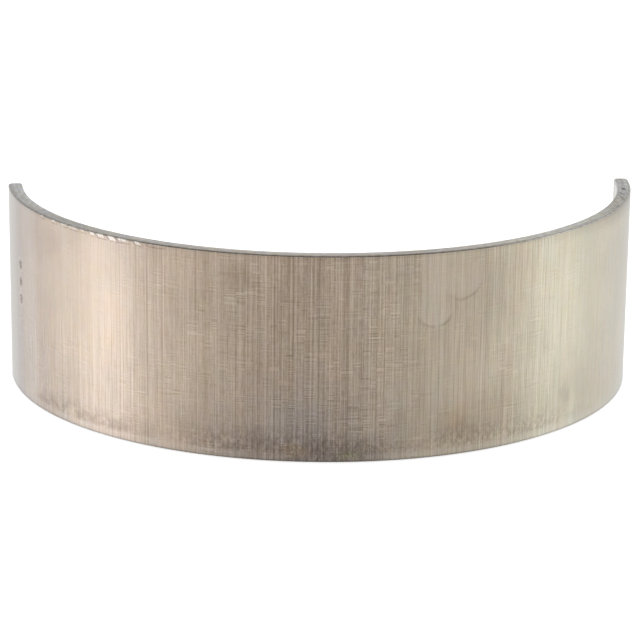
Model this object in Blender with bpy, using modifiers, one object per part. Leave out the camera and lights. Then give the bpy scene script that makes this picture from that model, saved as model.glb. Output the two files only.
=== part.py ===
"""Half shell of a thin-wall plain bearing, standing on one side face.

The shell is one formed piece. Its axis is upright, its back bulges towards -Y and its joint
faces look towards +Y. It is modelled as it lies free, a little wider across the joint faces
than the housing bore it snaps into.
"""

import math

import bmesh
import bpy

# Sizes of the shell, in metres
HOUSING_BORE = 0.0880
FREE_SPREAD = 0.00225
OVERSTAND = 0.00003
WIDTH = 0.02840
WALL = 0.00205

# Wall taken off the bore towards the joint faces
ECCENTRICITY = 0.000012
RELIEF_DEPTH = 0.000025
RELIEF_LENGTH = 0.0080

# Broken edges
BACK_CHAMFER_RADIAL = 0.00034
BACK_CHAMFER_AXIAL = 0.00016
BORE_CHAMFER = 0.00020
JOINT_CHAMFER = 0.00015

# Facets along the arc, and the angle below which neighbours are shaded as one surface
ARC_STEPS = 176
SMOOTH_ANGLE = math.radians(12)

STEEL_COLOUR = (0.46, 0.40, 0.34, 1.0)
STEEL_ROUGHNESS = 0.34


def free_back_radius(arc_length, chord):
    """Radius at which an arc of this length spans this chord, found by halving."""
    low = arc_length / math.pi
    high = 2 * low
    for _ in range(60):
        middle = (low + high) / 2
        if 2 * middle * math.sin(arc_length / (2 * middle)) < chord:
            low = middle
        else:
            high = middle
    return (low + high) / 2


# The back keeps the length it has in the housing, so a wider free shell is a flatter arc
ARC_LENGTH = math.pi * HOUSING_BORE / 2 + 2 * OVERSTAND
BACK_RADIUS = free_back_radius(ARC_LENGTH, HOUSING_BORE + FREE_SPREAD)
HALF_ANGLE = ARC_LENGTH / (2 * BACK_RADIUS)
BORE_RADIUS = BACK_RADIUS - WALL
WALL_MIDDLE = BACK_RADIUS - WALL / 2
CROWN = -math.pi / 2


def clear_scene():
    for item in list(bpy.data.objects):
        bpy.data.objects.remove(item, do_unlink=True)


def new_collection(name):
    group = bpy.data.collections.new(name)
    bpy.context.scene.collection.children.link(group)
    return group


def steel_material():
    material = bpy.data.materials.new("brushed_steel")
    material.use_nodes = True
    shader = material.node_tree.nodes["Principled BSDF"]
    shader.inputs["Base Color"].default_value = STEEL_COLOUR
    shader.inputs["Metallic"].default_value = 1.0
    shader.inputs["Roughness"].default_value = STEEL_ROUGHNESS
    return material


def wall_section():
    """Corners of the wall's section as radius and height, down the back and up the bore."""
    return [
        (BACK_RADIUS - BACK_CHAMFER_RADIAL, WIDTH),
        (BACK_RADIUS, WIDTH - BACK_CHAMFER_AXIAL),
        (BACK_RADIUS, BACK_CHAMFER_AXIAL),
        (BACK_RADIUS - BACK_CHAMFER_RADIAL, 0),
        (BORE_RADIUS + BORE_CHAMFER, 0),
        (BORE_RADIUS, BORE_CHAMFER),
        (BORE_RADIUS, WIDTH - BORE_CHAMFER),
        (BORE_RADIUS + BORE_CHAMFER, WIDTH),
    ]


def bore_growth(angle):
    """How far the bore stands back from its crown radius, at an angle from the crown."""
    growth = ECCENTRICITY * (1 - math.cos(angle))
    to_joint = (HALF_ANGLE - abs(angle)) * BORE_RADIUS
    if to_joint < RELIEF_LENGTH:
        growth += RELIEF_DEPTH * (1 - to_joint / RELIEF_LENGTH)
    return growth


def turned_blank(group):
    """The wall's section turned about the bore axis through the arc of the shell."""
    corners = [(radius, 0, height) for radius, height in wall_section()]
    edges = [(i, (i + 1) % len(corners)) for i in range(len(corners))]
    mesh = bpy.data.meshes.new("wall_section")
    mesh.from_pydata(corners, edges, [])
    section = bpy.data.objects.new("wall_section", mesh)
    group.objects.link(section)
    turn = section.modifiers.new("turn", "SCREW")
    turn.axis = "Z"
    turn.angle = 2 * HALF_ANGLE
    turn.steps = ARC_STEPS
    turn.render_steps = ARC_STEPS
    turn.use_merge_vertices = False
    bpy.context.view_layer.update()
    evaluated = section.evaluated_get(bpy.context.evaluated_depsgraph_get())
    blank = bpy.data.meshes.new_from_object(evaluated)
    bpy.data.objects.remove(section, do_unlink=True)
    return blank


def close_joint_faces(work):
    open_edges = [edge for edge in work.edges if edge.is_boundary]
    return bmesh.ops.holes_fill(work, edges=open_edges)["faces"]


def swing_and_bore(work):
    """Swing the arc until its crown faces -Y and open the bore towards the joint faces."""
    for point in work.verts:
        radius = math.hypot(point.co.x, point.co.y)
        angle = math.atan2(point.co.y, point.co.x) % (2 * math.pi) - HALF_ANGLE
        if radius < WALL_MIDDLE:
            radius += bore_growth(angle)
        point.co.x = radius * math.cos(CROWN + angle)
        point.co.y = radius * math.sin(CROWN + angle)


def mark_joint_edges(work, joint_faces):
    """Mark the joint faces' edges along the back and along the bore, not those across the wall."""
    weight = work.edges.layers.float.new("bevel_weight_edge")
    for face in joint_faces:
        for edge in face.edges:
            on_bore = [math.hypot(point.co.x, point.co.y) < WALL_MIDDLE for point in edge.verts]
            if on_bore[0] == on_bore[1]:
                edge[weight] = 1.0


def face_outward(work):
    bmesh.ops.recalc_face_normals(work, faces=work.faces)
    if work.calc_volume(signed=True) < 0:
        bmesh.ops.reverse_faces(work, faces=work.faces)


def bearing_shell(group, bore_axis):
    mesh = turned_blank(group)
    mesh.name = "bearing_shell"
    work = bmesh.new()
    work.from_mesh(mesh)
    joint_faces = close_joint_faces(work)
    swing_and_bore(work)
    mark_joint_edges(work, joint_faces)
    face_outward(work)
    work.to_mesh(mesh)
    work.free()
    mesh.shade_smooth()
    mesh.set_sharp_from_angle(angle=SMOOTH_ANGLE)
    mesh.materials.append(steel_material())
    shell = bpy.data.objects.new("bearing_shell", mesh)
    group.objects.link(shell)
    shell.parent = bore_axis
    broken_edges = shell.modifiers.new("joint_edges", "BEVEL")
    broken_edges.limit_method = "WEIGHT"
    broken_edges.width = JOINT_CHAMFER
    broken_edges.segments = 1
    return shell


def main():
    clear_scene()
    group = new_collection("engine_bearing_shell")
    bore_axis = bpy.data.objects.new("bore_axis", None)
    group.objects.link(bore_axis)
    joint_edge_radius = BORE_RADIUS + bore_growth(HALF_ANGLE) + JOINT_CHAMFER
    joint_edge_y = -joint_edge_radius * math.cos(HALF_ANGLE)
    bore_axis.location = (0, (BACK_RADIUS - joint_edge_y) / 2, 0)
    bearing_shell(group, bore_axis)


main()
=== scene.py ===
"""The engine bearing shell in its finish: axially ground, stained steel on a pale studio floor."""

import math
from typing import NamedTuple

import bmesh
import bpy
from mathutils import Matrix, Vector


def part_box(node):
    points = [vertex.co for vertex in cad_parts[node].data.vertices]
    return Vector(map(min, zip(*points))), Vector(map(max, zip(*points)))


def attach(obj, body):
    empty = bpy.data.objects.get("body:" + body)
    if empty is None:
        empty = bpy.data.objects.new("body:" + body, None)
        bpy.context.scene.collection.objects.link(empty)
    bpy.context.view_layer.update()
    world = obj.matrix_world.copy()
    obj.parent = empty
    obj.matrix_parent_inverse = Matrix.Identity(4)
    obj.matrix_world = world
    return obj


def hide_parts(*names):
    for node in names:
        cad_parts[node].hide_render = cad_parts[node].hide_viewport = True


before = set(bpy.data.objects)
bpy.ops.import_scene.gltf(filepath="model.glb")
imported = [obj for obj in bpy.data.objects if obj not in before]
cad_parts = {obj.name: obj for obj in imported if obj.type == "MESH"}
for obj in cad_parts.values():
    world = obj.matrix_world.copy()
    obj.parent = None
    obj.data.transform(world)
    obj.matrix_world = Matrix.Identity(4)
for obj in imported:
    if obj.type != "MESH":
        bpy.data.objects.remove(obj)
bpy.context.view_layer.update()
SHELL_LOW, SHELL_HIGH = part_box("bearing_shell")

MM = 0.001

# The shell's form, in metres, as its solid has it
WIDTH = SHELL_HIGH.z - SHELL_LOW.z
HOUSING_BORE = 88.0 * MM
OVERSTAND = 0.03 * MM
BACK_RADIUS = 45.1606 * MM
WALL = 2.05 * MM
ECCENTRICITY = 0.012 * MM
RELIEF_DEPTH = 0.025 * MM
RELIEF_LENGTH = 8.0 * MM
BACK_CHAMFER_RADIAL = 0.34 * MM
BACK_CHAMFER_AXIAL = 0.16 * MM
BORE_CHAMFER = 0.20 * MM
JOINT_CHAMFER = 0.15 * MM
BORE_RADIUS = BACK_RADIUS - WALL
WALL_MIDDLE = BACK_RADIUS - WALL / 2
ARC_LENGTH = math.pi * HOUSING_BORE / 2 + 2 * OVERSTAND
HALF_ANGLE = ARC_LENGTH / (2 * BACK_RADIUS)
AXIS_Y = SHELL_LOW.y + BACK_RADIUS
SHELL_MIDDLE = Vector((0, AXIS_Y, WIDTH / 2))

# Fineness of the shell's mesh
ARC_STEPS = 660
EDGE_SOFTNESS = 0.045 * MM
CORNER_STEPS = 2
FINE_ROW = 0.08 * MM
COARSE_ROW = 1.25 * MM
ROW_GROWTH = 1.28
SIDE_ROWS = 6
SHARP_ANGLE = math.radians(28)

# Chips knocked in under the back's upper edge, in millimetres: place along the arc, length, height and depth
CHIPS = [
    (-49.1, 0.7, 0.27, 0.03),
    (-45.9, 0.9, 0.31, 0.04),
    (-43.4, 1.1, 0.31, 0.035),
    (-41.2, 1.6, 0.32, 0.035),
    (-39.2, 0.7, 0.32, 0.03),
    (-37.3, 0.9, 0.40, 0.05),
    (-35.7, 1.2, 0.44, 0.05),
    (-33.7, 1.2, 0.50, 0.06),
    (-31.8, 1.5, 0.42, 0.045),
    (-29.3, 0.8, 0.44, 0.05),
    (-26.4, 2.2, 0.30, 0.02),
]
# The part of the back's edge where the mesh is cut finer for them
CHIPS_FROM = -50.5
CHIPS_TO = -24.5
CHIPS_DOWN = 0.8 * MM
CHIPS_IN = 0.4 * MM
# A chip's form in millimetres: how it leans to the side as it goes down, and how its brim slopes
CHIP_LEAN = 1.1
CHIP_LEAN_MIDDLE = 0.3
CHIP_FLATNESS = 0.7
CHIP_BRIM = 0.12
CHIP_SLOPE = 0.16
UNTOUCHED_RIM = 0.05
RIM_TURN = 0.12
# A chip's wear: the share of its depth where it turns bare, the wear above which no painted shadow shows,
# the depth of a chip that shines in full, and the ring of painted shadow round it
BARE_FROM = 0.3
BARE_ENOUGH = 0.2
FULL_SHINE_DEPTH = 0.055
SHADOW_RING = 0.16
SHADOW_RING_REACH = 0.13
SHADOW_RING_WEAR = -0.5

# A row of round punch marks on the back, in millimetres
PUNCH_ARC = -57.9
PUNCH_HEIGHTS = (19.2, 16.7, 14.2)
PUNCH_RADIUS = 0.80
PUNCH_DEPTH = 0.12
# The part of the back where the mesh is cut finer for them: radii to each side, and heights
MARK_MARGIN = 1.8
MARKS_FROM = 12.6
MARKS_TO = 21.2
# A mark's form in shares of its radius and depth: the hollow, the dirt in it, and the rim pushed up round it
HOLLOW_REACH = 1.1
HOLLOW_SLOPE = 0.8
PUNCH_DIRT_SLOPE = 0.3
PUNCH_RIM = 1.3
PUNCH_RIM_REACH = 0.35
PUNCH_RIM_RISE = 0.25
PUNCH_WEAR = 0.55

# Dents and scratches in the upper side face near its right end, each from one angle and radius to another,
# with its half width and depth in millimetres
DENTS = [
    (79.5, 44.08, 78.5, 44.22, 0.30, 0.08),
    (76.1, 43.50, 74.5, 44.35, 0.12, 0.045),
    (74.0, 43.55, 72.2, 44.45, 0.11, 0.035),
    (72.2, 44.00, 70.5, 44.70, 0.13, 0.045),
    (68.6, 43.60, 67.9, 44.10, 0.11, 0.035),
    (65.8, 44.66, 64.2, 44.70, 0.14, 0.045),
]
DENTS_FROM = 63
DENT_END = 1.3
DENT_SLOPE = 0.9
FULLY_DIRTY_DEPTH = 0.04 * MM

# Which points of the mesh the wear reaches
EDGE_REACH = 0.02 * MM
ON_THE_BACK = 0.01 * MM
ON_THE_SIDE = 0.001 * MM
PUNCHED_FROM = 12 * MM
PUNCHED_TO = 22 * MM
DENTS_CLEAR_OF_BORE = 0.25 * MM

# How finely the mesh is cut where it is worn: cuts across the arc and along it
CHIP_CUTS = (2, 2)
MARK_CUTS = (11, 3)
DENT_CUTS = (2, 2)

# The camera, from the photograph: distances in back radii, angles in degrees
CAMERA_DISTANCE = 8.9987
CAMERA_ELEVATION = 14.9963
CAMERA_AZIMUTH = -4.7948
CAMERA_ROLL = 0.6379
CAMERA_AIM_RIGHT = 0.0007
CAMERA_AIM_UP = -0.0174
FOCAL_PIXELS = 2757.14
IMAGE_PIXELS = 640
SENSOR = 36.0
CLIP_START = 0.01

# Brightness of the light tent by the direction it lies in: degrees from the front, counted to the right
TENT = [
    (-180, 0.93),
    (-150, 0.89),
    (-130, 0.94),
    (-112, 1.12),
    (-98, 1.26),
    (-90, 1.63),
    (-80, 1.37),
    (-72, 0.96),
    (-60, 0.92),
    (-42, 0.74),
    (-25, 0.68),
    (-8, 0.67),
    (5, 0.69),
    (16, 0.74),
    (26, 0.71),
    (38, 0.80),
    (50, 0.78),
    (60, 0.82),
    (72, 0.97),
    (81, 1.20),
    (90, 1.22),
    (102, 1.14),
    (112, 0.99),
    (132, 0.95),
    (143, 0.88),
    (153, 0.90),
    (180, 0.93),
]
# How the tent changes towards the zenith: the rise where that starts and ends, and the brightness there
OVERHEAD_FROM = 0.35
OVERHEAD_TO = 0.95
OVERHEAD = 0.75

# The bright ground seen past the shell's ends: degrees from the front where its glow starts, the fall
# where it is full, and how much it adds
GLOW_FROM = 164
GLOW_FALL = -0.2
GLOW = 0.55

# The usual span of a noise's values, and the values between which a change of hue takes place.
# Below, a smooth step is written as such a pair, or as a pair with the values that it leads from and to.
NOISE_LOW = 0.3
NOISE_HIGH = 0.7
HUE_LOW = 0.35
HUE_HIGH = 0.65


class Noise(NamedTuple):
    """A noise's cycles a millimetre in its two directions, its seed, and its detail and roughness."""

    across: float
    along: float
    seed: float
    detail: float = 2.0
    roughness: float = 0.5


class Graph:
    """Short calls that add nodes to one tree and link them."""

    def __init__(self, tree):
        self.tree = tree

    def node(self, kind, **settings):
        made = self.tree.nodes.new(kind)
        for name, value in settings.items():
            setattr(made, name, value)
        return made

    def put(self, socket, value):
        if isinstance(value, bpy.types.NodeSocket):
            self.tree.links.new(value, socket)
        else:
            socket.default_value = value

    def math(self, operation, first, second=0.0):
        made = self.node("ShaderNodeMath", operation=operation)
        self.put(made.inputs[0], first)
        self.put(made.inputs[1], second)
        return made.outputs[0]

    def ramp(self, value, low, high, start=0.0, end=1.0):
        """start below low, end above high, and a smooth step between."""
        made = self.node("ShaderNodeMapRange", interpolation_type="SMOOTHSTEP")
        for socket, given in zip(made.inputs, (value, low, high, start, end)):
            self.put(socket, given)
        return made.outputs[0]

    def span(self, field, low, high):
        """A noise's values spread from low to high."""
        return self.ramp(field, NOISE_LOW, NOISE_HIGH, low, high)

    def about(self, field, reach):
        """A noise's values spread as far as reach to both sides of 0."""
        return self.span(field, -reach, reach)

    def swing(self, field, weight):
        """A noise turned into a swing about 0, and weighed."""
        return self.math("MULTIPLY", self.math("SUBTRACT", field, 0.5), weight)

    def between(self, first, second, share):
        return self.math("ADD", first, self.math("MULTIPLY", share, self.math("SUBTRACT", second, first)))

    def mix(self, amount, first, second, blend="MIX"):
        made = self.node("ShaderNodeMix", data_type="RGBA", blend_type=blend)
        self.put(made.inputs[0], amount)
        self.put(made.inputs[6], first)
        self.put(made.inputs[7], second)
        return made.outputs[2]

    def times(self, colour, tint):
        return self.mix(1.0, colour, tint, "MULTIPLY")

    def point(self, x, y, z=0.0):
        made = self.node("ShaderNodeCombineXYZ")
        for socket, given in zip(made.inputs, (x, y, z)):
            self.put(socket, given)
        return made.outputs[0]

    def noise(self, place, detail, roughness=0.5):
        made = self.node("ShaderNodeTexNoise")
        self.put(made.inputs["Vector"], place)
        made.inputs["Scale"].default_value = 1.0
        made.inputs["Detail"].default_value = detail
        made.inputs["Roughness"].default_value = roughness
        return made.outputs["Fac"]

    def colours(self, value, stops, interpolation="EASE"):
        """A colour by a value from 0 to 1, from stops of a place and a colour."""
        made = self.node("ShaderNodeValToRGB")
        made.color_ramp.interpolation = interpolation
        marks = made.color_ramp.elements
        while len(marks) < len(stops):
            marks.new(1.0)
        for mark, (place, colour) in zip(marks, stops):
            mark.position = place
            mark.color = colour
        self.put(made.inputs[0], value)
        return made.outputs[0]

    def hue(self, field, first, second):
        """A tint that a noise sways between two."""
        return self.colours(field, [(HUE_LOW, (*first, 1)), (HUE_HIGH, (*second, 1))])


class ShellGraph(Graph):
    """A material's nodes with the shell's own coordinates, in millimetres and degrees."""

    def __init__(self, name):
        self.material = bpy.data.materials.new(name)
        self.material.use_nodes = True
        super().__init__(self.material.node_tree)
        self.shader = self.tree.nodes["Principled BSDF"]
        place = self.node("ShaderNodeTexCoord").outputs["Object"]
        parts = self.node("ShaderNodeSeparateXYZ")
        self.put(parts.inputs[0], place)
        across = parts.outputs[0]
        forward = self.math("SUBTRACT", AXIS_Y, parts.outputs[1])
        turn = self.math("ARCTAN2", across, forward)
        self.angle = self.math("MULTIPLY", turn, 180 / math.pi)
        self.arc = self.math("MULTIPLY", turn, BACK_RADIUS / MM)
        self.height = self.math("DIVIDE", parts.outputs[2], MM)
        squares = self.math("ADD", self.math("POWER", across, 2.0), self.math("POWER", forward, 2.0))
        self.radius = self.math("DIVIDE", self.math("SQRT", squares), MM)

    def field(self, first, second, noise):
        """A noise over two of the shell's coordinates."""
        across = self.math("MULTIPLY", first, noise.across)
        along = self.math("MULTIPLY", second, noise.along)
        return self.noise(self.point(across, along, noise.seed), noise.detail, noise.roughness)

    def grain(self, noise):
        """A noise along the arc and along the axis."""
        return self.field(self.arc, self.height, noise)

    def angle_tint(self, tints):
        share = self.math("ADD", self.math("DIVIDE", self.angle, 180), 0.5)
        return self.colours(share, [(angle / 180 + 0.5, tint) for angle, tint in tints])

    def angle_value(self, values, unit=1.0):
        """A number by degrees from the crown; the values over the unit lie between 0 and 1."""
        shares = self.angle_tint([(angle, grey(value * unit)) for angle, value in values])
        return self.math("DIVIDE", shares, unit)

    def length(self, x, y):
        return self.math("SQRT", self.math("ADD", self.math("MULTIPLY", x, x), self.math("MULTIPLY", y, y)))

    def oval(self, place, arc, height, half_arc, half_height, edge):
        """1 inside an oval on the back, falling to 0 over the share edge of its size."""
        scaled = self.node("ShaderNodeVectorMath", operation="MULTIPLY_ADD")
        self.put(scaled.inputs[0], place)
        scaled.inputs[1].default_value = (1 / half_arc, 1 / half_height, 0)
        scaled.inputs[2].default_value = (-arc / half_arc, -height / half_height, 0)
        far = self.node("ShaderNodeVectorMath", operation="LENGTH")
        self.put(far.inputs[0], scaled.outputs[0])
        return self.ramp(far.outputs["Value"], 1.0 - edge, 1.0 + edge, 1.0, 0.0)

    def band(self, value, low, high, edge):
        """1 between low and high, falling to 0 over edge outside them."""
        rise = self.ramp(value, low - edge, low)
        fall = self.ramp(value, high, high + edge, 1.0, 0.0)
        return self.math("MULTIPLY", rise, fall)

    def worn(self, name):
        made = self.node("ShaderNodeAttribute", attribute_name=name)
        return made.outputs["Fac"]

    def finish(self, colour, roughness):
        self.put(self.shader.inputs["Base Color"], colour)
        self.put(self.shader.inputs["Roughness"], roughness)
        self.shader.inputs["Metallic"].default_value = 1.0
        return self.material

    def bump(self, height, distance):
        made = self.node("ShaderNodeBump")
        made.inputs["Strength"].default_value = 1.0
        made.inputs["Distance"].default_value = distance
        self.put(made.inputs["Height"], height)
        self.put(self.shader.inputs["Normal"], made.outputs[0])

    def lengthwise_grind(self, amount):
        """Microscopic grooves along the axis, which spread a reflection round the arc."""
        self.shader.inputs["Anisotropic"].default_value = amount
        tangent = self.node("ShaderNodeTangent", direction_type="RADIAL", axis="Z")
        self.put(self.shader.inputs["Tangent"], tangent.outputs[0])


def grey(value):
    return (value, value, value, 1.0)


# Tint of the back by degrees from its crown
BACK_TINTS = [
    (-88, (0.61, 0.59, 0.565, 1)),
    (-79, (0.61, 0.575, 0.535, 1)),
    (-73.5, (0.556, 0.486, 0.452, 1)),
    (-71, (0.602, 0.524, 0.46, 1)),
    (-68.3, (0.62, 0.545, 0.487, 1)),
    (-66, (0.612, 0.53, 0.467, 1)),
    (-64.2, (0.591, 0.495, 0.422, 1)),
    (-60, (0.592, 0.493, 0.412, 1)),
    (-55, (0.60, 0.504, 0.42, 1)),
    (-42, (0.62, 0.515, 0.428, 1)),
    (-25, (0.56, 0.455, 0.358, 1)),
    (-8, (0.505, 0.405, 0.317, 1)),
    (20, (0.54, 0.46, 0.357, 1)),
    (45, (0.60, 0.56, 0.444, 1)),
    (62, (0.613, 0.565, 0.463, 1)),
    (88, (0.60, 0.58, 0.54, 1)),
]

# Strength of the grinding lines by degrees from the crown: those from edge to edge, and the broken ones
THROUGH_STRENGTH = [
    (-88, 0.10),
    (-60, 0.12),
    (-46, 0.30),
    (-33, 0.36),
    (-18, 0.34),
    (-8, 0.70),
    (2, 0.56),
    (14, 0.28),
    (24, 0.31),
    (35, 0.24),
    (50, 0.05),
    (88, 0.05),
]
BROKEN_STRENGTH = [
    (-88, 0.22),
    (-64, 0.30),
    (-46, 0.26),
    (-33, 0.31),
    (-14, 0.36),
    (2, 0.34),
    (16, 0.30),
    (35, 0.36),
    (48, 0.17),
    (88, 0.13),
]

# Strength of the short threads across them by degrees from the crown
THREAD_STRENGTH = [
    (-88, 0.30),
    (-60, 0.30),
    (-46, 0.32),
    (-33, 0.54),
    (-17, 0.95),
    (-6, 1.20),
    (4, 1.25),
    (10, 0.72),
    (15, 0.32),
    (35, 0.32),
    (50, 0.14),
    (88, 0.12),
]

# Grinding lines that stand out on the back: place along the arc in millimetres, and tone
MAIN_LINES = [
    (-44.2, 0.90),
    (-40.5, 0.92),
    (-29.5, 0.91),
    (-27.6, 0.91),
    (-19.0, 0.90),
    (-18.5, 1.09),
    (-17.3, 0.91),
    (-12.9, 1.12),
    (-11.7, 0.84),
    (-10.7, 1.13),
    (-9.5, 0.82),
    (-8.3, 1.13),
    (-5.0, 1.10),
    (-3.6, 0.84),
    (-2.1, 1.13),
    (0.0, 0.88),
    (0.8, 1.11),
    (2.0, 0.89),
    (3.2, 1.09),
    (21.7, 0.89),
    (24.5, 1.08),
]
LINE_HALF_WIDTH = 0.10

# Stains on the back, with a painted shade and a lighter patch along its upper edge, in millimetres: place
# along the arc, height, half sizes, softness and tone
STAINS_AND_SHADE = [
    (-50.0, 25.5, 3.2, 3.5, 0.9, (0.96, 0.95, 0.94)),
    (-46.0, 25.0, 1.6, 1.8, 0.8, (0.95, 0.92, 0.94)),
    (-40.0, 25.5, 2.0, 2.8, 0.8, (0.94, 0.93, 0.92)),
    (-38.0, 16.5, 7.2, 6.3, 0.9, (1.05, 1.05, 1.04)),
    (-34.0, 6.5, 1.2, 5.0, 0.7, (0.90, 0.90, 0.90)),
    (-34.0, 23.5, 2.0, 2.4, 0.8, (0.94, 0.94, 0.94)),
    (-33.5, 0.5, 2.2, 0.9, 0.8, (0.94, 0.92, 0.92)),
    (-31.0, 12.5, 1.0, 8.0, 0.6, (1.05, 1.05, 1.05)),
    # Painted shade along the upper edge
    (-31.0, 28.0, 6.0, 1.9, 0.8, (0.91, 0.91, 0.93)),
    (-30.0, 2.5, 0.9, 1.0, 0.7, (0.93, 0.92, 0.92)),
    (-29.0, 5.5, 1.8, 3.6, 0.8, (0.94, 0.94, 0.94)),
    (-27.5, 22.5, 2.0, 3.0, 0.8, (0.95, 0.95, 0.95)),
    (-27.0, 2.5, 1.1, 0.9, 0.7, (0.94, 0.93, 0.93)),
    (-25.0, 2.0, 2.2, 1.6, 0.7, (1.06, 1.06, 1.05)),
    (-22.0, 3.0, 0.9, 1.8, 0.7, (0.95, 0.94, 0.94)),
    (-22.0, 3.5, 9.0, 2.2, 0.8, (0.93, 0.92, 0.92)),
    (-14.5, 3.0, 5.0, 2.4, 0.9, (0.93, 0.93, 0.94)),
    (-14.5, 25.0, 1.6, 1.8, 0.8, (0.87, 0.85, 0.82)),
    (-12.0, 10.5, 1.3, 12.5, 0.5, (0.93, 0.92, 0.92)),
    # Lighter along the upper edge
    (-12.0, 27.0, 6.0, 2.2, 0.8, (1.06, 1.06, 1.06)),
    (-9.0, 0.5, 9.0, 1.4, 0.8, (0.90, 0.89, 0.90)),
    (-7.5, 12.5, 1.1, 10.5, 0.6, (1.05, 1.05, 1.05)),
    (-6.5, 1.5, 1.8, 0.8, 0.6, (1.08, 1.04, 0.90)),
    (-6.5, 19.0, 0.6, 8.0, 0.6, (0.94, 0.94, 0.94)),
    (-6.0, 4.5, 3.4, 3.2, 0.9, (0.90, 0.93, 0.98)),
    (-5.5, 27.0, 0.9, 2.4, 0.7, (1.07, 1.08, 1.11)),
    (-5.0, 18.0, 0.7, 8.6, 0.6, (1.06, 1.06, 1.06)),
    (-4.0, 4.5, 12.0, 6.5, 0.8, (0.84, 0.87, 0.92)),
    (-4.0, 5.5, 2.6, 1.3, 0.8, (0.92, 0.92, 0.92)),
    (-3.5, 21.0, 1.6, 3.2, 0.8, (0.90, 0.90, 0.90)),
    (-0.5, 1.5, 5.0, 1.9, 0.8, (0.80, 0.80, 0.82)),
    (0.5, 1.0, 1.4, 0.7, 0.6, (1.00, 1.06, 0.91)),
    (2.5, 12.0, 0.8, 3.8, 0.7, (0.94, 0.94, 0.93)),
    (4.0, 15.0, 0.8, 13.0, 0.5, (1.05, 1.05, 1.05)),
    (8.0, 5.0, 1.6, 2.1, 0.8, (0.93, 0.93, 0.92)),
    (8.0, 21.5, 1.0, 2.1, 0.7, (0.94, 0.94, 0.92)),
    (15.0, 5.0, 1.5, 1.4, 0.8, (0.95, 0.91, 0.85)),
    (16.5, 3.5, 3.0, 1.6, 0.8, (0.92, 0.91, 0.90)),
    (19.0, 5.0, 2.2, 2.2, 0.8, (0.95, 0.94, 0.94)),
    (22.0, 3.5, 1.2, 1.6, 0.7, (0.95, 0.94, 0.94)),
    (23.5, 14.5, 0.7, 5.0, 0.6, (0.95, 0.95, 0.95)),
    (26.0, 4.5, 3.0, 2.5, 0.8, (0.95, 0.95, 0.95)),
    (27.0, 4.0, 21.0, 4.2, 0.8, (0.90, 0.89, 0.88)),
    (30.5, 26.5, 1.7, 2.0, 0.3, (1.00, 1.04, 1.08)),
    (32.0, 5.0, 1.0, 2.5, 0.7, (0.95, 0.95, 0.95)),
    (34.5, 5.0, 0.9, 1.1, 0.7, (0.88, 0.88, 0.91)),
    (36.5, 2.5, 0.8, 2.4, 0.6, (1.06, 1.07, 1.08)),
    (38.5, 20.0, 4.6, 4.8, 0.9, (1.05, 1.05, 1.04)),
    (40.0, 6.5, 4.8, 5.7, 0.9, (0.95, 0.94, 0.95)),
    (56.5, 8.0, 3.5, 9.0, 0.8, (1.07, 1.08, 1.09)),
]

# Dried drips that run down from the upper edge: place along the arc, height of their round end, half width,
# softness, tone, and the share of the rim that shows on their left
DRIPS = [
    (16.0, 24.9, 3.0, 0.9, (1.04, 1.06, 1.08), 0.0),
    (12.0, 20.7, 2.45, 0.3, (1.08, 1.10, 1.13), 0.6),
]
# Tone of a drip's rim, and the share of the lines that its film hides
DRIP_RIM = 0.80
DRIP_FILM = 0.3
DRIP_WARP = Noise(0.5, 0.3, 9.0)
DRIP_WARP_REACH = 1.0
# From below its round end to above it a drip's sides turn softer by so much
DRIP_SOFTENS = (-1.0, 3.0)
DRIP_SOFTER = 1.2
# The rim lies between these distances outside the drip, in millimetres, fades beyond them, and is broken up
RIM_FROM = 0.05
RIM_TO = 0.2
RIM_FADE = 0.22
RIM_BREAKS = Noise(0.8, 0.8, 9.5)
RIM_SHOWS = (0.35, 0.5)

# Slow changes of hue on the back: the noise of each, and the two tints that it goes between
HUES = [
    (Noise(0.22, 0.05, 12.0, 2.0, 0.6), (1.008, 0.996, 0.986), (0.992, 1.003, 1.013)),
    (Noise(0.45, 0.30, 14.0, 2.0, 0.6), (1.009, 0.993, 1.005), (0.992, 1.005, 0.996)),
    (Noise(0.60, 0.40, 15.0, 2.0, 0.6), (1.005, 1.000, 0.976), (0.996, 1.000, 1.022)),
]
MOTTLE = Noise(0.14, 0.11, 13.0, 3.0, 0.55)

# The grinding lines along the axis: hair lines from edge to edge, wide ones, and the broken ones.
# The weights of some change to the right of the crown, by degrees.
HAIR = Noise(5.4, 0.010, 1.0, 1.0, 0.7)
FINEST = Noise(7.6, 0.020, 1.5, 0.0)
WIDE = Noise(0.9, 0.012, 4.0, 2.0, 0.6)
HAIR_WEIGHT = 1.15
FINEST_WEIGHT = (8, 22, 1.30, 1.70)
WIDE_WEIGHT = (3, 14, 0.30, 0.06)
BROKEN = [
    (Noise(5.2, 0.16, 2.0, 1.0, 0.7), 1.1),
    (Noise(7.8, 0.22, 2.5, 0.0), 0.8),
]
# Single scores: the noise that draws them, the noise that breaks them up, and how far each sways the tone
SCORES = [
    (Noise(3.0, 0.015, 30.0, 0.0), Noise(2.2, 0.06, 31.0, 0.0), 0.14),
    (Noise(3.0, 0.015, 35.0, 0.0), Noise(2.2, 0.06, 36.0, 0.0), -0.18),
]
SCORE_DRAWN = (0.64, 0.74)
SCORE_KEPT = (0.42, 0.58)
MAIN_LINE_WEAR = Noise(0.4, 0.12, 5.0, 1.0)
MAIN_LINE_KEPT = (0.3, 0.6, 0.4, 1.0)
MAIN_LINE_SIDE = (0.3 * LINE_HALF_WIDTH, 1.7 * LINE_HALF_WIDTH)
MAIN_LINE_WEIGHT = 1.1

# The grain between the lines: short strokes along the axis, and speckles
SHORT_MARKS = [
    (Noise(4.2, 0.7, 3.0, 1.0, 0.6), 0.40),
    (Noise(4.8, 4.8, 3.5, 0.0), 0.18),
]

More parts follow.
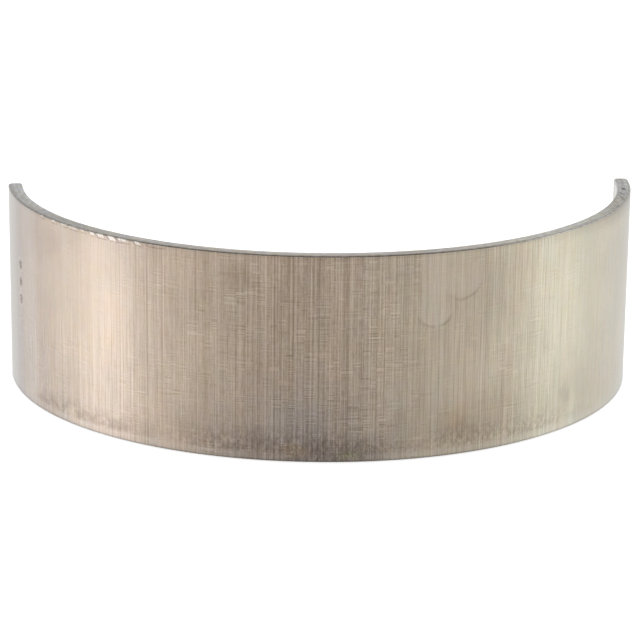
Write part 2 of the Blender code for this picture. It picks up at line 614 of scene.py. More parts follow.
# The threads across the lines, in two weaves: blocks a millimetre along the arc, seed and weight
WEAVES = [
    (0.85, 6.0, 0.23),
    (0.36, 40.0, 0.12),
]
BLOCK_WANDER = 3.0
THREADS_A_MILLIMETRE = (0.25, 0.75, 1.7, 2.8)
THREAD_DRIFT = 4.0
THREAD_DRAWN = (0.42, 0.66)
THREAD_WEIGHTS = (0.55, 1.4)
THREAD_PATCHES = Noise(0.10, 0.10, 8.0)
PATCH_STRENGTH = (0.34, 0.62, 0.4, 1.0)

# The whole reach over which the stains' outlines wander along the arc and along the axis, in millimetres
STAIN_WARP_ARC = Noise(0.35, 0.35, 7.0, 2.0, 0.6)
STAIN_WARP_HEIGHT = Noise(0.5, 0.25, 8.0, 3.0, 0.65)
STAIN_WANDER_ARC = 3.0
STAIN_WANDER_HEIGHT = 3.6

# Red, green and blue shares of a sway in tone: a lighter place is a little cooler, a darker one warmer
SWAY_SHARES = (0.90, 1.0, 1.14)


def summed(g, fields):
    """The sum of noises, each turned into a swing about 0 and weighed."""
    sway = 0.0
    for field, weight in fields:
        sway = g.math("ADD", g.swing(field, weight), sway)
    return sway


def ground_lines(g, through_strength, broken_strength):
    """How far the grinding lines along the axis sway the tone, and the noise of the hair lines."""
    hair = g.grain(HAIR)
    finest = g.grain(FINEST)
    wide = g.grain(WIDE)
    wide_weight = g.ramp(g.angle, *WIDE_WEIGHT)
    finest_weight = g.ramp(g.angle, *FINEST_WEIGHT)
    through = summed(g, ((hair, HAIR_WEIGHT), (finest, finest_weight), (wide, wide_weight)))
    for drawing, breaking, weight in SCORES:
        scored = g.ramp(g.grain(drawing), *SCORE_DRAWN, 0.0, weight)
        kept = g.ramp(g.grain(breaking), *SCORE_KEPT)
        through = g.math("ADD", g.math("MULTIPLY", scored, kept), through)
    broken = summed(g, [(g.grain(noise), weight) for noise, weight in BROKEN])
    through = g.math("MULTIPLY", through, through_strength)
    return g.math("ADD", through, g.math("MULTIPLY", broken, broken_strength)), hair


def short_marks(g, strength):
    """The grain of the ground face between the lines."""
    marks = summed(g, [(g.grain(noise), weight) for noise, weight in SHORT_MARKS])
    return g.math("MULTIPLY", marks, strength)


def main_lines(g):
    """The few lines that stand out, broken up along their length."""
    worn = g.ramp(g.grain(MAIN_LINE_WEAR), *MAIN_LINE_KEPT)
    sway = 0.0
    for place, tone in MAIN_LINES:
        near = g.math("ABSOLUTE", g.math("SUBTRACT", g.arc, place))
        line = g.ramp(near, *MAIN_LINE_SIDE, tone - 1.0, 0.0)
        sway = g.math("ADD", line, sway)
    return g.math("MULTIPLY", sway, g.math("MULTIPLY", worn, MAIN_LINE_WEIGHT))


def cross_lines(g, strength):
    """Short straight scratches round the arc, in blocks between the grinding lines, like a linen weave.

    The noises go on by a few cycles from block to block, so that neighbours have nothing in common.
    """
    faintest, strongest = THREAD_WEIGHTS
    sway = 0.0
    for blocks, seed, weight in WEAVES:
        wander = g.math("MULTIPLY", g.grain(Noise(0.25, 0.08, seed, 1.0)), BLOCK_WANDER)
        block = g.math("FLOOR", g.math("ADD", g.math("MULTIPLY", g.arc, blocks), wander))
        drift = g.field(block, g.height, Noise(5.31, 1.1, seed + 1, 1.0))
        pitch = g.noise(g.point(g.math("MULTIPLY", block, 7.77), seed), 0.0)
        pitch = g.ramp(pitch, *THREADS_A_MILLIMETRE)
        turns = g.math("ADD", g.math("MULTIPLY", g.height, pitch), g.math("MULTIPLY", drift, THREAD_DRIFT))
        threads = g.math("SINE", g.math("MULTIPLY", turns, 2 * math.pi))
        drawn = g.ramp(g.field(block, g.height, Noise(3.73, 0.42, seed + 2)), *THREAD_DRAWN)
        each = g.field(block, g.height, Noise(2.17, 2.2, seed + 3, 0.0))
        shown = g.math("MULTIPLY", drawn, g.span(each, faintest * weight, strongest * weight))
        sway = g.math("ADD", g.math("MULTIPLY", threads, shown), sway)
    patches = g.ramp(g.grain(THREAD_PATCHES), *PATCH_STRENGTH)
    return g.math("MULTIPLY", g.math("MULTIPLY", sway, patches), strength)


def swayed(g, colour, sway):
    """The colour made lighter and a little cooler, or darker and a little warmer."""
    tones = [g.math("ADD", g.math("MULTIPLY", sway, share), 1.0) for share in SWAY_SHARES]
    return g.times(colour, g.point(*tones))


def toned(g, colour, tone):
    return g.times(colour, g.point(tone, tone, tone))


def stained(g, colour):
    """The colour under the stains and the painted shade, whose outlines wander with a slow noise."""
    warp_arc = g.swing(g.grain(STAIN_WARP_ARC), STAIN_WANDER_ARC)
    warp_height = g.swing(g.grain(STAIN_WARP_HEIGHT), STAIN_WANDER_HEIGHT)
    place = g.point(g.math("ADD", g.arc, warp_arc), g.math("ADD", g.height, warp_height))
    for arc, height, half_arc, half_height, edge, tone in STAINS_AND_SHADE:
        inside = g.oval(place, arc, height, half_arc, half_height, edge)
        colour = g.mix(inside, colour, (*tone, 1), "MULTIPLY")
    return colour


def dripped(g, colour, film):
    """The colour under the dried drips, whose film hides a part of the lines and has a dark rim."""
    warp = g.swing(g.grain(DRIP_WARP), DRIP_WARP_REACH)
    for place, end, half_width, edge, tone, left in DRIPS:
        across = g.math("ADD", g.math("SUBTRACT", g.arc, place), warp)
        above = g.math("ADD", g.math("SUBTRACT", g.height, end), warp)
        down = g.math("MINIMUM", above, 0.0)
        far = g.length(across, down)
        softness = g.ramp(above, *DRIP_SOFTENS, edge, edge + DRIP_SOFTER)
        inside = g.ramp(far, g.math("SUBTRACT", half_width, softness), half_width + 0.3 * edge, 1.0, 0.0)
        colour = g.mix(inside, colour, g.times(g.mix(DRIP_FILM, colour, film), (*tone, 1)))
        rim = g.band(far, half_width + RIM_FROM, half_width + RIM_TO, RIM_FADE)
        rim = g.math("MULTIPLY", rim, g.ramp(down, -half_width, -0.1 * half_width, 1.0, 0.0))
        rim = g.math("MULTIPLY", rim, g.ramp(across, -half_width, 0.6 * half_width, left, 1.0))
        rim = g.math("MULTIPLY", rim, g.ramp(g.grain(RIM_BREAKS), *RIM_SHOWS))
        colour = g.mix(rim, colour, toned(g, colour, DRIP_RIM))
    return colour


# Reach of the dirt above the lower edge in millimetres, and its density, by degrees from the crown
DIRT_REACH = [
    (-70, 1.0),
    (-62, 3.5),
    (-48, 3.8),
    (-34, 4.2),
    (-18, 4.7),
    (-5, 5.4),
    (8, 3.8),
    (20, 4.8),
    (40, 4.2),
    (66, 1.0),
]
DIRT_DENSITY = [
    (-70, 0.0),
    (-61, 0.95),
    (-41, 0.90),
    (-35, 0.35),
    (-29, 0.45),
    (-24, 0.95),
    (-16, 1.0),
    (2, 1.0),
    (12, 0.60),
    (20, 0.90),
    (29, 0.70),
    (36, 0.70),
    (46, 0.30),
    (66, 0.0),
]
DIRT_TINT = (0.64, 0.62, 0.625, 1.0)
LEAST_DIRT_REACH = 0.9
DIRT_FADES = (0.45, 1.15)
DIRT_WANDER = 4.0
DIRT_OUTLINE = Noise(0.9, 0.0, 11.0, 3.0, 0.7)
FINE_DIRT = Noise(1.7, 0.9, 10.0, 5.0, 0.85)
FINE_DIRT_SHOWS = (0.40, 0.58)
SOFT_DIRT = Noise(0.45, 0.7, 10.5, 3.0, 0.6)
SOFT_DIRT_SHOWS = (0.36, 0.58)
SOFT_TO_LEFT = (-48, -28, 0.75, 0.0)
# Next to the lower edge the dirt was rubbed off, but not near the crown, and the tint turns cooler
RUBBED_OFF = (0.8, 1.6, 1.0, 0.0)
DIRTY_CROWN = -2.0
CLEAR_OF_CROWN = (3, 9)
LOW_TINT = (0.965, 0.995, 1.035, 1.0)
LOW_TINT_FADES = (0.4, 2.0, 1.0, 0.0)


def gathered_dirt(g, colour):
    """The colour under the streaky dirt above the lower edge, and the cooler tint next to that edge."""
    wander = g.swing(g.grain(DIRT_OUTLINE), DIRT_WANDER)
    reach = g.math("MAXIMUM", g.math("ADD", g.angle_value(DIRT_REACH, 0.1), wander), LEAST_DIRT_REACH)
    dense_to, gone_from = [g.math("MULTIPLY", reach, share) for share in DIRT_FADES]
    low = g.ramp(g.height, dense_to, gone_from, 1.0, 0.0)
    from_crown = g.math("ABSOLUTE", g.math("SUBTRACT", g.arc, DIRTY_CROWN))
    rubbed_off = g.math("MULTIPLY", g.ramp(g.height, *RUBBED_OFF), g.ramp(from_crown, *CLEAR_OF_CROWN))
    fine = g.ramp(g.grain(FINE_DIRT), *FINE_DIRT_SHOWS)
    soft = g.ramp(g.grain(SOFT_DIRT), *SOFT_DIRT_SHOWS)
    streaks = g.between(fine, soft, g.ramp(g.angle, *SOFT_TO_LEFT))
    amount = g.math("MULTIPLY", low, g.math("SUBTRACT", 1.0, rubbed_off))
    amount = g.math("MULTIPLY", amount, g.math("MULTIPLY", g.angle_value(DIRT_DENSITY), streaks))
    colour = g.mix(amount, colour, g.times(colour, DIRT_TINT))
    return g.mix(g.ramp(g.height, *LOW_TINT_FADES), colour, g.times(colour, LOW_TINT))


# The thin dark rim at the lower edge, and the shade above it: its height and tone by degrees from the crown
LOWER_RIM = (0.24, 0.46, 0.76, 1.0)
SHADE_FROM = 0.2
SHADE_HEIGHT = (-8, 12, 1.1, 0.6)
SHADE_TONE = (-8, 12, 0.90, 0.95)


def lower_shade(g):
    """Tone of the thin dark rim at the lower edge and of the gradual shade above it."""
    shade_height = g.ramp(g.angle, *SHADE_HEIGHT)
    shade_tone = g.ramp(g.angle, *SHADE_TONE)
    gradual = g.ramp(g.height, SHADE_FROM, shade_height, shade_tone, 1.0)
    return g.math("MULTIPLY", gradual, g.ramp(g.height, *LOWER_RIM))


# The rim at the upper edge, and the shade that takes over to the right and turns deeper and darker there
UPPER_RIM = (0.2, 0.65, 0.90, 1.0)
RIM_TO_SHADE = (32, 42)
BROAD_FROM = 0.2
BROAD_DEPTH = (46, 60, 1.8, 2.6)
BROAD_DARKNESS = (52, 62, 0.13, 0.27)
THIN_LINE = (0.15, 0.6)
THIN_LINE_TONE = (44, 58, 1.0, 0.86)


def upper_shade(g):
    """Tone of the thin dark rim at the upper edge, which turns into a broad shade to the right."""
    from_top = g.math("SUBTRACT", WIDTH / MM, g.height)
    rim = g.ramp(from_top, *UPPER_RIM)
    shade = g.ramp(g.angle, *BROAD_DARKNESS)
    depth = g.ramp(g.angle, *BROAD_DEPTH)
    thin = g.ramp(from_top, *THIN_LINE, g.ramp(g.angle, *THIN_LINE_TONE), 1.0)
    broad = g.math("SUBTRACT", 1.0, g.math("MULTIPLY", g.ramp(from_top, BROAD_FROM, depth, 1.0, 0.0), shade))
    broad = g.math("MULTIPLY", broad, thin)
    return g.between(rim, broad, g.ramp(g.angle, *RIM_TO_SHADE))


# Wear on the edges and marks: metal laid bare, dirt in the hollows, painted shadow round the chips, and the
# noise that breaks them up
BARE_STEEL = (0.76, 0.70, 0.65, 1.0)
DIRT_AND_SHADOW = (0.40, 0.37, 0.34, 1.0)
FLAKES = Noise(3.2, 3.2, 25.0, 1.0)
FLAKED = (0.35, 0.60, 0.45, 1.15)
TURNS_DARK = (-0.05, -0.9)
TURNS_BARE = (0.1, 0.95)


def worn_through(g, colour):
    """Bare metal where the wear attribute is above 0, and dirt where it is below, which round the chips is
    painted shadow.
    """
    flaked = g.ramp(g.grain(FLAKES), *FLAKED)
    wear = g.math("MULTIPLY", g.worn("wear"), flaked)
    # Dirt in the hollows, and painted shadow round the chips
    colour = g.mix(g.ramp(wear, *TURNS_DARK), colour, g.times(colour, DIRT_AND_SHADOW))
    return g.mix(g.ramp(wear, *TURNS_BARE), colour, BARE_STEEL)


# The most that lines sway the back's tone, the depth of the hair lines, and how far they spread a reflection
MOST_SWAY = 0.4
HAIR_DEPTH = 0.0015 * MM
BACK_GRIND = 0.5
BACK_ROUGHNESS = (0.22, 0.28)
MOTTLE_TONES = (0.95, 1.05)
# To the left, by degrees, the lines fade high up and stand out more low down
FADED_TO_LEFT = (-50, -32, 1.0, 0.0)
FADED_UPWARD = (10, 18, -0.25, 0.60)


def back_lines(g):
    """How far all the lines and marks sway the back's tone, and the hair lines' own noise."""
    thread_strength = g.angle_value(THREAD_STRENGTH, 0.5)
    lines, hair = ground_lines(g, g.angle_value(THROUGH_STRENGTH), g.angle_value(BROKEN_STRENGTH))
    marks = g.math("ADD", short_marks(g, thread_strength), cross_lines(g, thread_strength))
    sway = g.math("ADD", g.math("ADD", lines, main_lines(g)), marks)
    faded = g.math("MULTIPLY", g.ramp(g.angle, *FADED_TO_LEFT), g.ramp(g.height, *FADED_UPWARD))
    sway = g.math("MULTIPLY", sway, g.math("SUBTRACT", 1.0, faded))
    limited = g.math("TANH", g.math("DIVIDE", sway, MOST_SWAY))
    return g.math("MULTIPLY", limited, MOST_SWAY), hair


def back_steel():
    """The ground back: its lines, stains, dried drips, dirt and wear, and painted shade along its edges."""
    g = ShellGraph("ground_steel_back")
    colour = g.angle_tint(BACK_TINTS)
    for noise, first, second in HUES:
        colour = g.times(colour, g.hue(g.grain(noise), first, second))
    film = colour
    sway, hair = back_lines(g)
    colour = swayed(g, colour, sway)
    mottle = g.grain(MOTTLE)
    colour = toned(g, colour, g.span(mottle, *MOTTLE_TONES))
    colour = stained(g, colour)
    colour = dripped(g, colour, film)
    colour = gathered_dirt(g, colour)
    colour = toned(g, toned(g, colour, lower_shade(g)), upper_shade(g))
    colour = worn_through(g, colour)
    g.bump(hair, HAIR_DEPTH)
    g.lengthwise_grind(BACK_GRIND)
    return g.finish(colour, g.span(mottle, *BACK_ROUGHNESS))


# Tint of the side faces by degrees from the crown
SIDE_TINTS = [
    (-88, (0.375, 0.375, 0.362, 1)),
    (-79, (0.372, 0.368, 0.35, 1)),
    (-73, (0.385, 0.38, 0.362, 1)),
    (-60, (0.372, 0.362, 0.34, 1)),
    (-40, (0.395, 0.375, 0.34, 1)),
    (-15, (0.40, 0.365, 0.318, 1)),
    (11, (0.385, 0.352, 0.308, 1)),
    (22, (0.445, 0.42, 0.368, 1)),
    (40, (0.465, 0.455, 0.405, 1)),
    (54, (0.43, 0.425, 0.38, 1)),
    (64, (0.375, 0.37, 0.335, 1)),
    (88, (0.39, 0.39, 0.375, 1)),
]
SIDE_RINGS = Noise(0.04, 2.4, 20.0, 2.0, 0.6)
SIDE_RINGS_SWAY = 0.20
SIDE_FILM = Noise(0.9, 1.6, 21.0, 3.0, 0.6)
SIDE_FILM_SWAY = 0.22
SIDE_HUE = Noise(0.45, 0.6, 24.0)
SIDE_WARM = (1.04, 1.01, 0.92)
SIDE_COLD = (0.97, 0.975, 1.05)
# Nicks along the bore's edge, from and to a distance from the bore, and smudges at the right end by degrees
SIDE_NICKS = Noise(0.5, 0.0, 26.0, 2.0, 0.7)
NICKS_SHOW = (0.60, 0.66)
NICKS_REACH = (0.25, 0.7)
NICK_TONE = 0.72
SIDE_SMUDGES = Noise(0.55, 0.0, 23.0, 2.0, 0.6)
SMUDGES_SHOW = (0.46, 0.60)
SMUDGED_END = (60, 66)
SMUDGE_TINT = (0.86, 0.84, 0.82, 1)
# Half the width of the step from the inner to the outer tone, across the middle of the wall
SIDE_STEP = 0.7
INNER_TONE = 1.03
OUTER_TONE = 0.96
SIDE_GRIND = 0.3
SIDE_ROUGHNESS = 0.34


def side_steel():
    """The side faces, faced off on a lathe: rings round the bore axis under a mottled film."""
    g = ShellGraph("turned_steel_side")
    colour = g.angle_tint(SIDE_TINTS)
    colour = swayed(g, colour, g.about(g.field(g.arc, g.radius, SIDE_RINGS), SIDE_RINGS_SWAY))
    colour = swayed(g, colour, g.about(g.field(g.arc, g.radius, SIDE_FILM), SIDE_FILM_SWAY))
    colour = g.times(colour, g.hue(g.field(g.arc, g.radius, SIDE_HUE), SIDE_WARM, SIDE_COLD))
    nicks = g.ramp(g.grain(SIDE_NICKS), *NICKS_SHOW)
    inward = g.ramp(g.math("SUBTRACT", g.radius, BORE_RADIUS / MM), *NICKS_REACH, 1.0, 0.0)
    colour = g.mix(g.math("MULTIPLY", nicks, inward), colour, toned(g, colour, NICK_TONE))
    outward = g.math("SUBTRACT", g.radius, WALL_MIDDLE / MM)
    colour = toned(g, colour, g.ramp(outward, -SIDE_STEP, SIDE_STEP, INNER_TONE, OUTER_TONE))
    smudge = g.math("MULTIPLY", g.ramp(g.angle, *SMUDGED_END), g.ramp(g.grain(SIDE_SMUDGES), *SMUDGES_SHOW))
    colour = g.mix(smudge, colour, g.times(colour, SMUDGE_TINT))
    colour = worn_through(g, colour)
    g.lengthwise_grind(SIDE_GRIND)
    return g.finish(colour, SIDE_ROUGHNESS)


# Brightness of the line of painted shade in the broken edges of the back, by degrees from the crown
EDGE_SHADE_LINE = [
    (-88, 0.36),
    (-78, 0.34),
    (-70, 0.24),
    (-60, 0.26),
    (-52, 0.38),
    (-42, 0.28),
    (-32, 0.10),
    (12, 0.09),
    (24, 0.15),
    (31, 0.40),
    (40, 0.74),
    (50, 0.56),
    (62, 0.46),
    (88, 0.46),
]
EDGE_TINT = (0.86, 0.85, 0.84, 1)
EDGE_WEAR = Noise(1.1, 0.0, 22.0, 2.0, 0.6)
EDGE_SWAYS = (-0.2, 0.25)
# The line of painted shade fades between these distances from a side face, in millimetres; the lower edge is
# darker, also painted shade
SHADE_LINE_FADES_FROM = 0.10
SHADE_LINE_FADES_TO = 0.04
SHADE_LINE_TINT = (1.0, 0.95, 0.88)
SHADE_BELOW = (1.0, 2.0, 0.45, 1.0)
EDGE_ROUGHNESS = 0.4


def edge_steel():
    """The broken edges of the back, which hold a line of painted shade where the arc stands out to the
    front.
    """
    g = ShellGraph("broken_edge_steel")
    half_width = WIDTH / MM / 2
    from_middle = g.math("ABSOLUTE", g.math("SUBTRACT", g.height, half_width))
    inner = g.ramp(from_middle, half_width - SHADE_LINE_FADES_FROM, half_width - SHADE_LINE_FADES_TO, 1.0, 0.0)
    # The line of painted shade, toned by degrees from the crown
    red, green, blue = SHADE_LINE_TINT
    tints = [(angle, (red * value, green * value, blue * value, 1)) for angle, value in EDGE_SHADE_LINE]
    line = g.angle_tint(tints)
    side = g.times(g.angle_tint(SIDE_TINTS), EDGE_TINT)
    colour = g.mix(inner, side, line)
    colour = swayed(g, colour, g.span(g.grain(EDGE_WEAR), *EDGE_SWAYS))
    # Painted shade: the lower edge darker
    colour = toned(g, colour, g.ramp(g.height, *SHADE_BELOW))
    return g.finish(worn_through(g, colour), EDGE_ROUGHNESS)


BORE_COLOUR = (0.57, 0.555, 0.52, 1.0)
BORE_TURNING = Noise(0.04, 6.0, 50.0, 2.0, 0.6)
BORE_FILM = Noise(0.12, 0.16, 51.0, 3.0, 0.55)
TURNING_DEPTH = 0.001 * MM
BORE_TURNING_SWAY = 0.07
BORE_FILM_SWAY = 0.05
BORE_GRIND = 0.4
BORE_ROUGHNESS = (0.32, 0.40)
QUARTER_TURN = 0.25


def bore_lining():
    """The bore: fine turned lines round it under a thin uneven film."""
    g = ShellGraph("bore_lining")
    turned = g.grain(BORE_TURNING)
    film = g.grain(BORE_FILM)
    colour = swayed(g, BORE_COLOUR, g.about(turned, BORE_TURNING_SWAY))
    colour = swayed(g, colour, g.about(film, BORE_FILM_SWAY))
    g.bump(turned, TURNING_DEPTH)
    g.lengthwise_grind(BORE_GRIND)
    g.shader.inputs["Anisotropic Rotation"].default_value = QUARTER_TURN
    return g.finish(colour, g.span(film, *BORE_ROUGHNESS))


JOINT_COLOUR = (0.50, 0.49, 0.47, 1.0)
JOINT_CUTS = Noise(9.0, 0.12, 52.0, 2.0, 0.6)
JOINT_CUTS_SWAY = 0.12
JOINT_FILM = Noise(1.0, 0.5, 53.0)
JOINT_FILM_SWAY = 0.06
JOINT_ROUGHNESS = (0.32, 0.42)


def joint_steel():
    """The joint faces: cut lines along the axis, and the broken edges of the bore."""
    g = ShellGraph("cut_steel_joint")
    cuts = g.field(g.radius, g.height, JOINT_CUTS)
    film = g.field(g.radius, g.height, JOINT_FILM)
    colour = swayed(g, JOINT_COLOUR, g.about(cuts, JOINT_CUTS_SWAY))
    colour = swayed(g, colour, g.about(film, JOINT_FILM_SWAY))
    return g.finish(colour, g.span(film, *JOINT_ROUGHNESS))


# The shell's faces, as its materials are numbered
BACK, SIDE, EDGE, BORE, JOINT = range(5)


def softened(corners):
    """The loop with each corner turned into a short curve, each point with the face it lies on."""
    loop = []
    for i, (corner, face) in enumerate(corners):
        before = corners[i - 1][0]
        after = corners[(i + 1) % len(corners)][0]
        start = corner + (before - corner).normalized() * EDGE_SOFTNESS
        end = corner + (after - corner).normalized() * EDGE_SOFTNESS
        for step in range(CORNER_STEPS + 1):
            t = step / CORNER_STEPS
            loop.append((start * (1 - t) ** 2 + corner * 2 * t * (1 - t) + end * t * t, face))
    return loop


def graded_shares(length, fine, coarse):
    """Shares of a length at rows that are fine at both ends and coarse between."""
    steps = []
    step = fine
    while 2 * sum(steps) + 2 * step < length:
        steps.append(step)
        step = min(step * ROW_GROWTH, coarse)
    middle = length - 2 * sum(steps)
    places = [0.0]
    for step in steps + [middle] + steps[::-1]:
        places.append(places[-1] + step)
    return [place / length for place in places[1:-1]]


def wall_section():
    """Points round the wall's section as radius and height, each with the face after it."""
    back_in = BACK_RADIUS - BACK_CHAMFER_RADIAL
    bore_in = BORE_RADIUS + BORE_CHAMFER
    corners = [
        (Vector((back_in, WIDTH)), EDGE),
        (Vector((BACK_RADIUS, WIDTH - BACK_CHAMFER_AXIAL)), BACK),
        (Vector((BACK_RADIUS, BACK_CHAMFER_AXIAL)), EDGE),
        (Vector((back_in, 0)), SIDE),
        (Vector((bore_in, 0)), JOINT),
        (Vector((BORE_RADIUS, BORE_CHAMFER)), BORE),
        (Vector((BORE_RADIUS, WIDTH - BORE_CHAMFER)), JOINT),
        (Vector((bore_in, WIDTH)), SIDE),
    ]
    soft = softened(corners)
    section = []
    for i, (point, face) in enumerate(soft):
        after = soft[(i + 1) % len(soft)][0]
        section.append((point, face))
        gap = (after - point).length
        if face == BACK and gap > COARSE_ROW:
            shares = graded_shares(gap, FINE_ROW, COARSE_ROW)
        elif face == BORE and gap > COARSE_ROW:
            shares = graded_shares(gap, 4 * FINE_ROW, 2 * COARSE_ROW)
        elif gap > WALL / 2:
            shares = [row / SIDE_ROWS for row in range(1, SIDE_ROWS)]
        else:
            shares = []
        section += [(point.lerp(after, share), face) for share in shares]
    return section


def bore_growth(angle):
    """How far the bore stands back from its crown radius, at an angle from the crown."""
    growth = ECCENTRICITY * (1 - math.cos(angle))
    to_joint = (HALF_ANGLE - abs(angle)) * BORE_RADIUS
    if to_joint < RELIEF_LENGTH:
        growth += RELIEF_DEPTH * (1 - to_joint / RELIEF_LENGTH)
    return growth


def station_angles():
    """Angles of the sections, with one more where each joint face's broken edges begin."""
    broken = JOINT_CHAMFER / BACK_RADIUS
    even = [HALF_ANGLE * (2 * i / ARC_STEPS - 1) for i in range(1, ARC_STEPS)]
    return [-HALF_ANGLE, broken - HALF_ANGLE] + even + [HALF_ANGLE - broken, HALF_ANGLE]


def section_place(point, angle):
    """A point of the section at its angle, drawn in where the joint face's edges are broken."""
    to_joint = (HALF_ANGLE - abs(angle)) * BACK_RADIUS
    inset = max(0.0, JOINT_CHAMFER - to_joint)
    radius = point.x
    if radius < WALL_MIDDLE:
        radius += bore_growth(angle)
    radius = WALL_MIDDLE + (radius - WALL_MIDDLE) * (1 - 2 * inset / WALL)
    return Vector((radius * math.sin(angle), AXIS_Y - radius * math.cos(angle), point.y))


def polar(place):
    """Angle from the crown, radius and height of a point."""
    forward = AXIS_Y - place.y
    return math.atan2(place.x, forward), math.hypot(place.x, forward), place.z


def smooth(value):
    value = min(max(value, 0.0), 1.0)
    return value * value * (3 - 2 * value)


def chipped(angle, height):
    """How far a chip knocks the back in below its upper edge, in metres, and how worn it is there; below 0
    that is its painted shadow.
    """
    arc = angle * BACK_RADIUS / MM
    down = (WIDTH - height) / MM
    under_edge = smooth((down - UNTOUCHED_RIM) / RIM_TURN)
    depth = 0.0
    wear = 0.0
    for place, length, chip_height, chip_depth in CHIPS:
        lean = CHIP_LEAN * (down - CHIP_LEAN_MIDDLE)
        beside = abs(arc - lean - place) - length / 2
        outside = max(beside, CHIP_FLATNESS * (down - chip_height))
        share = smooth((CHIP_BRIM - outside) / CHIP_SLOPE) * under_edge
        # Painted shadow: a darker ring round the chip
        ring = smooth(1 - abs(outside - SHADOW_RING) / SHADOW_RING_REACH) * under_edge
        depth = max(depth, chip_depth * share)
        if share > BARE_FROM:
            wear = share * min(1.0, chip_depth / FULL_SHINE_DEPTH)
        elif wear <= BARE_ENOUGH:
            wear = min(wear, SHADOW_RING_WEAR * ring)
    return depth * MM, wear


def punched(angle, height):
    """How deep the punch marks are at a place on the back, in metres, and how bright or dirty."""
    arc = angle * BACK_RADIUS / MM
    nearest = min(abs(height / MM - mark) for mark in PUNCH_HEIGHTS)
    far = math.hypot(arc - PUNCH_ARC, nearest) / PUNCH_RADIUS
    rim = smooth(1 - abs(far - PUNCH_RIM) / PUNCH_RIM_REACH)
    hollow = smooth((HOLLOW_REACH - far) / HOLLOW_SLOPE)
    dirt = smooth((HOLLOW_REACH - far) / PUNCH_DIRT_SLOPE)
    return PUNCH_DEPTH * (hollow - PUNCH_RIM_RISE * rim) * MM, PUNCH_WEAR * rim - PUNCH_WEAR * dirt


def dent_depth(angle, radius):
    """How deep the dents and scratches in the upper side face are at a place on it, in metres."""
    depth = 0.0
    for from_angle, from_radius, to_angle, to_radius, half_width, deep in DENTS:
        degree_length = math.radians(radius / MM)
        at = Vector(((math.degrees(angle) - from_angle) * degree_length, radius / MM - from_radius))
        along = Vector(((to_angle - from_angle) * degree_length, to_radius - from_radius))
        share = min(max(at.dot(along) / along.length_squared, 0.0), 1.0)
        far = (at - along * share).length / half_width
        depth = max(depth, deep * smooth((DENT_END - far) / DENT_SLOPE))
    return depth * MM


def runs_round(edge):
    """Whether an edge follows the arc, and doesn't cross the section."""
    _, near_radius, near_height = polar(edge.verts[0].co)
    _, far_radius, far_height = polar(edge.verts[1].co)
    return abs(far_radius - near_radius) + abs(far_height - near_height) < edge.calc_length() / 2


def refine(work, is_inside, cuts_across, cuts_round):
    """Cut the faces whose middle passes a test into a finer grid."""
    for cuts, along_arc in ((cuts_across, False), (cuts_round, True)):
        chosen = [face for face in work.faces if is_inside(*polar(face.calc_center_median()), face)]
        edges = [edge for face in chosen for edge in face.edges if runs_round(edge) == along_arc]
        edges = list(dict.fromkeys(edges))
        bmesh.ops.subdivide_edges(work, edges=edges, cuts=cuts, use_grid_fill=True)


def in_chips(angle, radius, height, face):
    arc = angle * BACK_RADIUS / MM
    near_top = height > WIDTH - CHIPS_DOWN and radius > BACK_RADIUS - CHIPS_IN
    return near_top and CHIPS_FROM < arc < CHIPS_TO and face.material_index in (BACK, EDGE)


def in_marks(angle, radius, height, face):
    arc = angle * BACK_RADIUS / MM
    near_row = abs(arc - PUNCH_ARC) < MARK_MARGIN * PUNCH_RADIUS
    return face.material_index == BACK and near_row and MARKS_FROM * MM < height < MARKS_TO * MM


def in_dents(angle, radius, height, face):
    return face.material_index == SIDE and height > WIDTH / 2 and angle > math.radians(DENTS_FROM)


def sweep_wall(work):
    """The faces of the wall from section to section along the arc, and its two joint faces."""
    section = wall_section()
    rings = []
    for angle in station_angles():
        rings.append([work.verts.new(section_place(point, angle)) for point, _ in section])
    for near, far in zip(rings, rings[1:]):
        for i, (_, kind) in enumerate(section):
            j = (i + 1) % len(section)
            face = work.faces.new((near[i], near[j], far[j], far[i]))
            face.material_index = kind
    for ring in (rings[0], rings[-1]):
        cap = work.faces.new(ring)
        cap.material_index = JOINT
    bmesh.ops.recalc_face_normals(work, faces=work.faces)
    if work.calc_volume(signed=True) < 0:
        bmesh.ops.reverse_faces(work, faces=work.faces)


def wear_down(work):
    """Knock the chips, punch marks and dents into the mesh, and note how worn each point is."""
    wear = work.verts.layers.float.new("wear")
    chamfer_start = BACK_RADIUS - BACK_CHAMFER_RADIAL - EDGE_REACH
    for point in work.verts:
        angle, radius, height = polar(point.co)
        out = Vector((math.sin(angle), -math.cos(angle), 0))
        if radius > chamfer_start and height > WIDTH / 2:
            knocked, point[wear] = chipped(angle, height)
            point.co -= out * knocked
        if radius > BACK_RADIUS - ON_THE_BACK and PUNCHED_FROM < height < PUNCHED_TO:
            sunk, point[wear] = punched(angle, height)
            point.co -= out * sunk
        if height > WIDTH - ON_THE_SIDE and BORE_RADIUS + DENTS_CLEAR_OF_BORE < radius < chamfer_start:
            sunk = dent_depth(angle, radius)
            point.co.z -= sunk
            point[wear] = -sunk / FULLY_DIRTY_DEPTH


def shell_mesh():
    work = bmesh.new()
    sweep_wall(work)
    refine(work, in_chips, *CHIP_CUTS)
    refine(work, in_marks, *MARK_CUTS)
    refine(work, in_dents, *DENT_CUTS)
    wear_down(work)
    mesh = bpy.data.meshes.new("shell")
    work.to_mesh(mesh)
    work.free()
    mesh.shade_smooth()
    mesh.set_sharp_from_angle(angle=SHARP_ANGLE)
    return mesh


def shell():
    mesh = shell_mesh()
    for material in (back_steel(), side_steel(), edge_steel(), bore_lining(), joint_steel()):
        mesh.materials.append(material)
    piece = bpy.data.objects.new("finished_shell", mesh)
    bpy.context.scene.collection.objects.link(piece)
    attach(piece, "root")
    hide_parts("bearing_shell")


FLOOR_SIZE = 6.0
FLOOR_GREY = 0.85
FLOOR_ROUGHNESS = 0.9
FLOOR_GLOW = 0.6


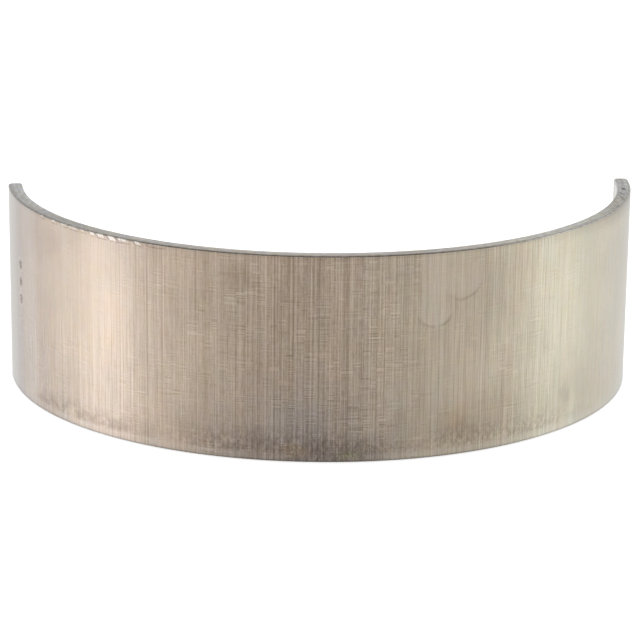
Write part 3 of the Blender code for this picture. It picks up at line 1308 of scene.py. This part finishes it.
def floor():
    bpy.ops.mesh.primitive_plane_add(size=FLOOR_SIZE, location=(0, 0, SHELL_LOW.z))
    piece = bpy.context.object
    piece.name = "studio_floor"
    material = bpy.data.materials.new("white_floor")
    material.use_nodes = True
    shader = material.node_tree.nodes["Principled BSDF"]
    shader.inputs["Base Color"].default_value = grey(FLOOR_GREY)
    shader.inputs["Roughness"].default_value = FLOOR_ROUGHNESS
    shader.inputs["Specular IOR Level"].default_value = 0.0
    shader.inputs["Emission Color"].default_value = grey(1.0)
    shader.inputs["Emission Strength"].default_value = FLOOR_GLOW
    piece.data.materials.append(material)
    piece.visible_glossy = False


def light_tent():
    world = bpy.data.worlds.new("light_tent")
    bpy.context.scene.world = world
    world.use_nodes = True
    g = Graph(world.node_tree)
    background = world.node_tree.nodes["Background"]
    parts = g.node("ShaderNodeSeparateXYZ")
    g.put(parts.inputs[0], g.node("ShaderNodeTexCoord").outputs["Generated"])
    rise = parts.outputs[2]
    turn = g.math("ARCTAN2", parts.outputs[0], g.math("MULTIPLY", parts.outputs[1], -1.0))
    share = g.math("ADD", g.math("DIVIDE", turn, 2 * math.pi), 0.5)
    stops = [((azimuth + 180) / 360, grey(value)) for azimuth, value in TENT]
    around = g.colours(share, stops, "LINEAR")
    behind = g.ramp(g.math("ABSOLUTE", turn), math.radians(GLOW_FROM), math.pi, 0.0, GLOW)
    glow = g.math("ADD", g.math("MULTIPLY", behind, g.ramp(rise, GLOW_FALL, 0.0, 1.0, 0.0)), 1.0)
    tone = g.math("MULTIPLY", glow, g.ramp(rise, OVERHEAD_FROM, OVERHEAD_TO, 1.0, OVERHEAD))
    lit = toned(g, around, tone)
    seen = g.node("ShaderNodeLightPath").outputs["Is Camera Ray"]
    g.put(background.inputs["Color"], g.mix(seen, lit, grey(1.0)))


def camera():
    distance = CAMERA_DISTANCE * BACK_RADIUS
    rise = math.radians(CAMERA_ELEVATION)
    round_to = math.radians(CAMERA_AZIMUTH)
    flat = math.cos(rise)
    offset = Vector((flat * math.sin(round_to), -flat * math.cos(round_to), math.sin(rise))) * distance
    ahead = -offset.normalized()
    right = ahead.cross(Vector((0, 0, 1))).normalized()
    up = right.cross(ahead)
    ahead = (ahead + CAMERA_AIM_RIGHT * right + CAMERA_AIM_UP * up).normalized()
    right = ahead.cross(up).normalized()
    turned = Matrix((right, right.cross(ahead), -ahead)).transposed().to_4x4()
    turned = turned @ Matrix.Rotation(math.radians(CAMERA_ROLL), 4, "Z")
    data = bpy.data.cameras.new("camera")
    data.sensor_width = SENSOR
    data.lens = FOCAL_PIXELS / IMAGE_PIXELS * SENSOR
    data.clip_start = CLIP_START
    piece = bpy.data.objects.new("camera", data)
    piece.matrix_world = Matrix.Translation(SHELL_MIDDLE + offset) @ turned
    bpy.context.scene.collection.objects.link(piece)
    bpy.context.scene.camera = piece


bpy.context.scene.view_settings.view_transform = "Standard"
camera()
light_tent()
floor()
shell()
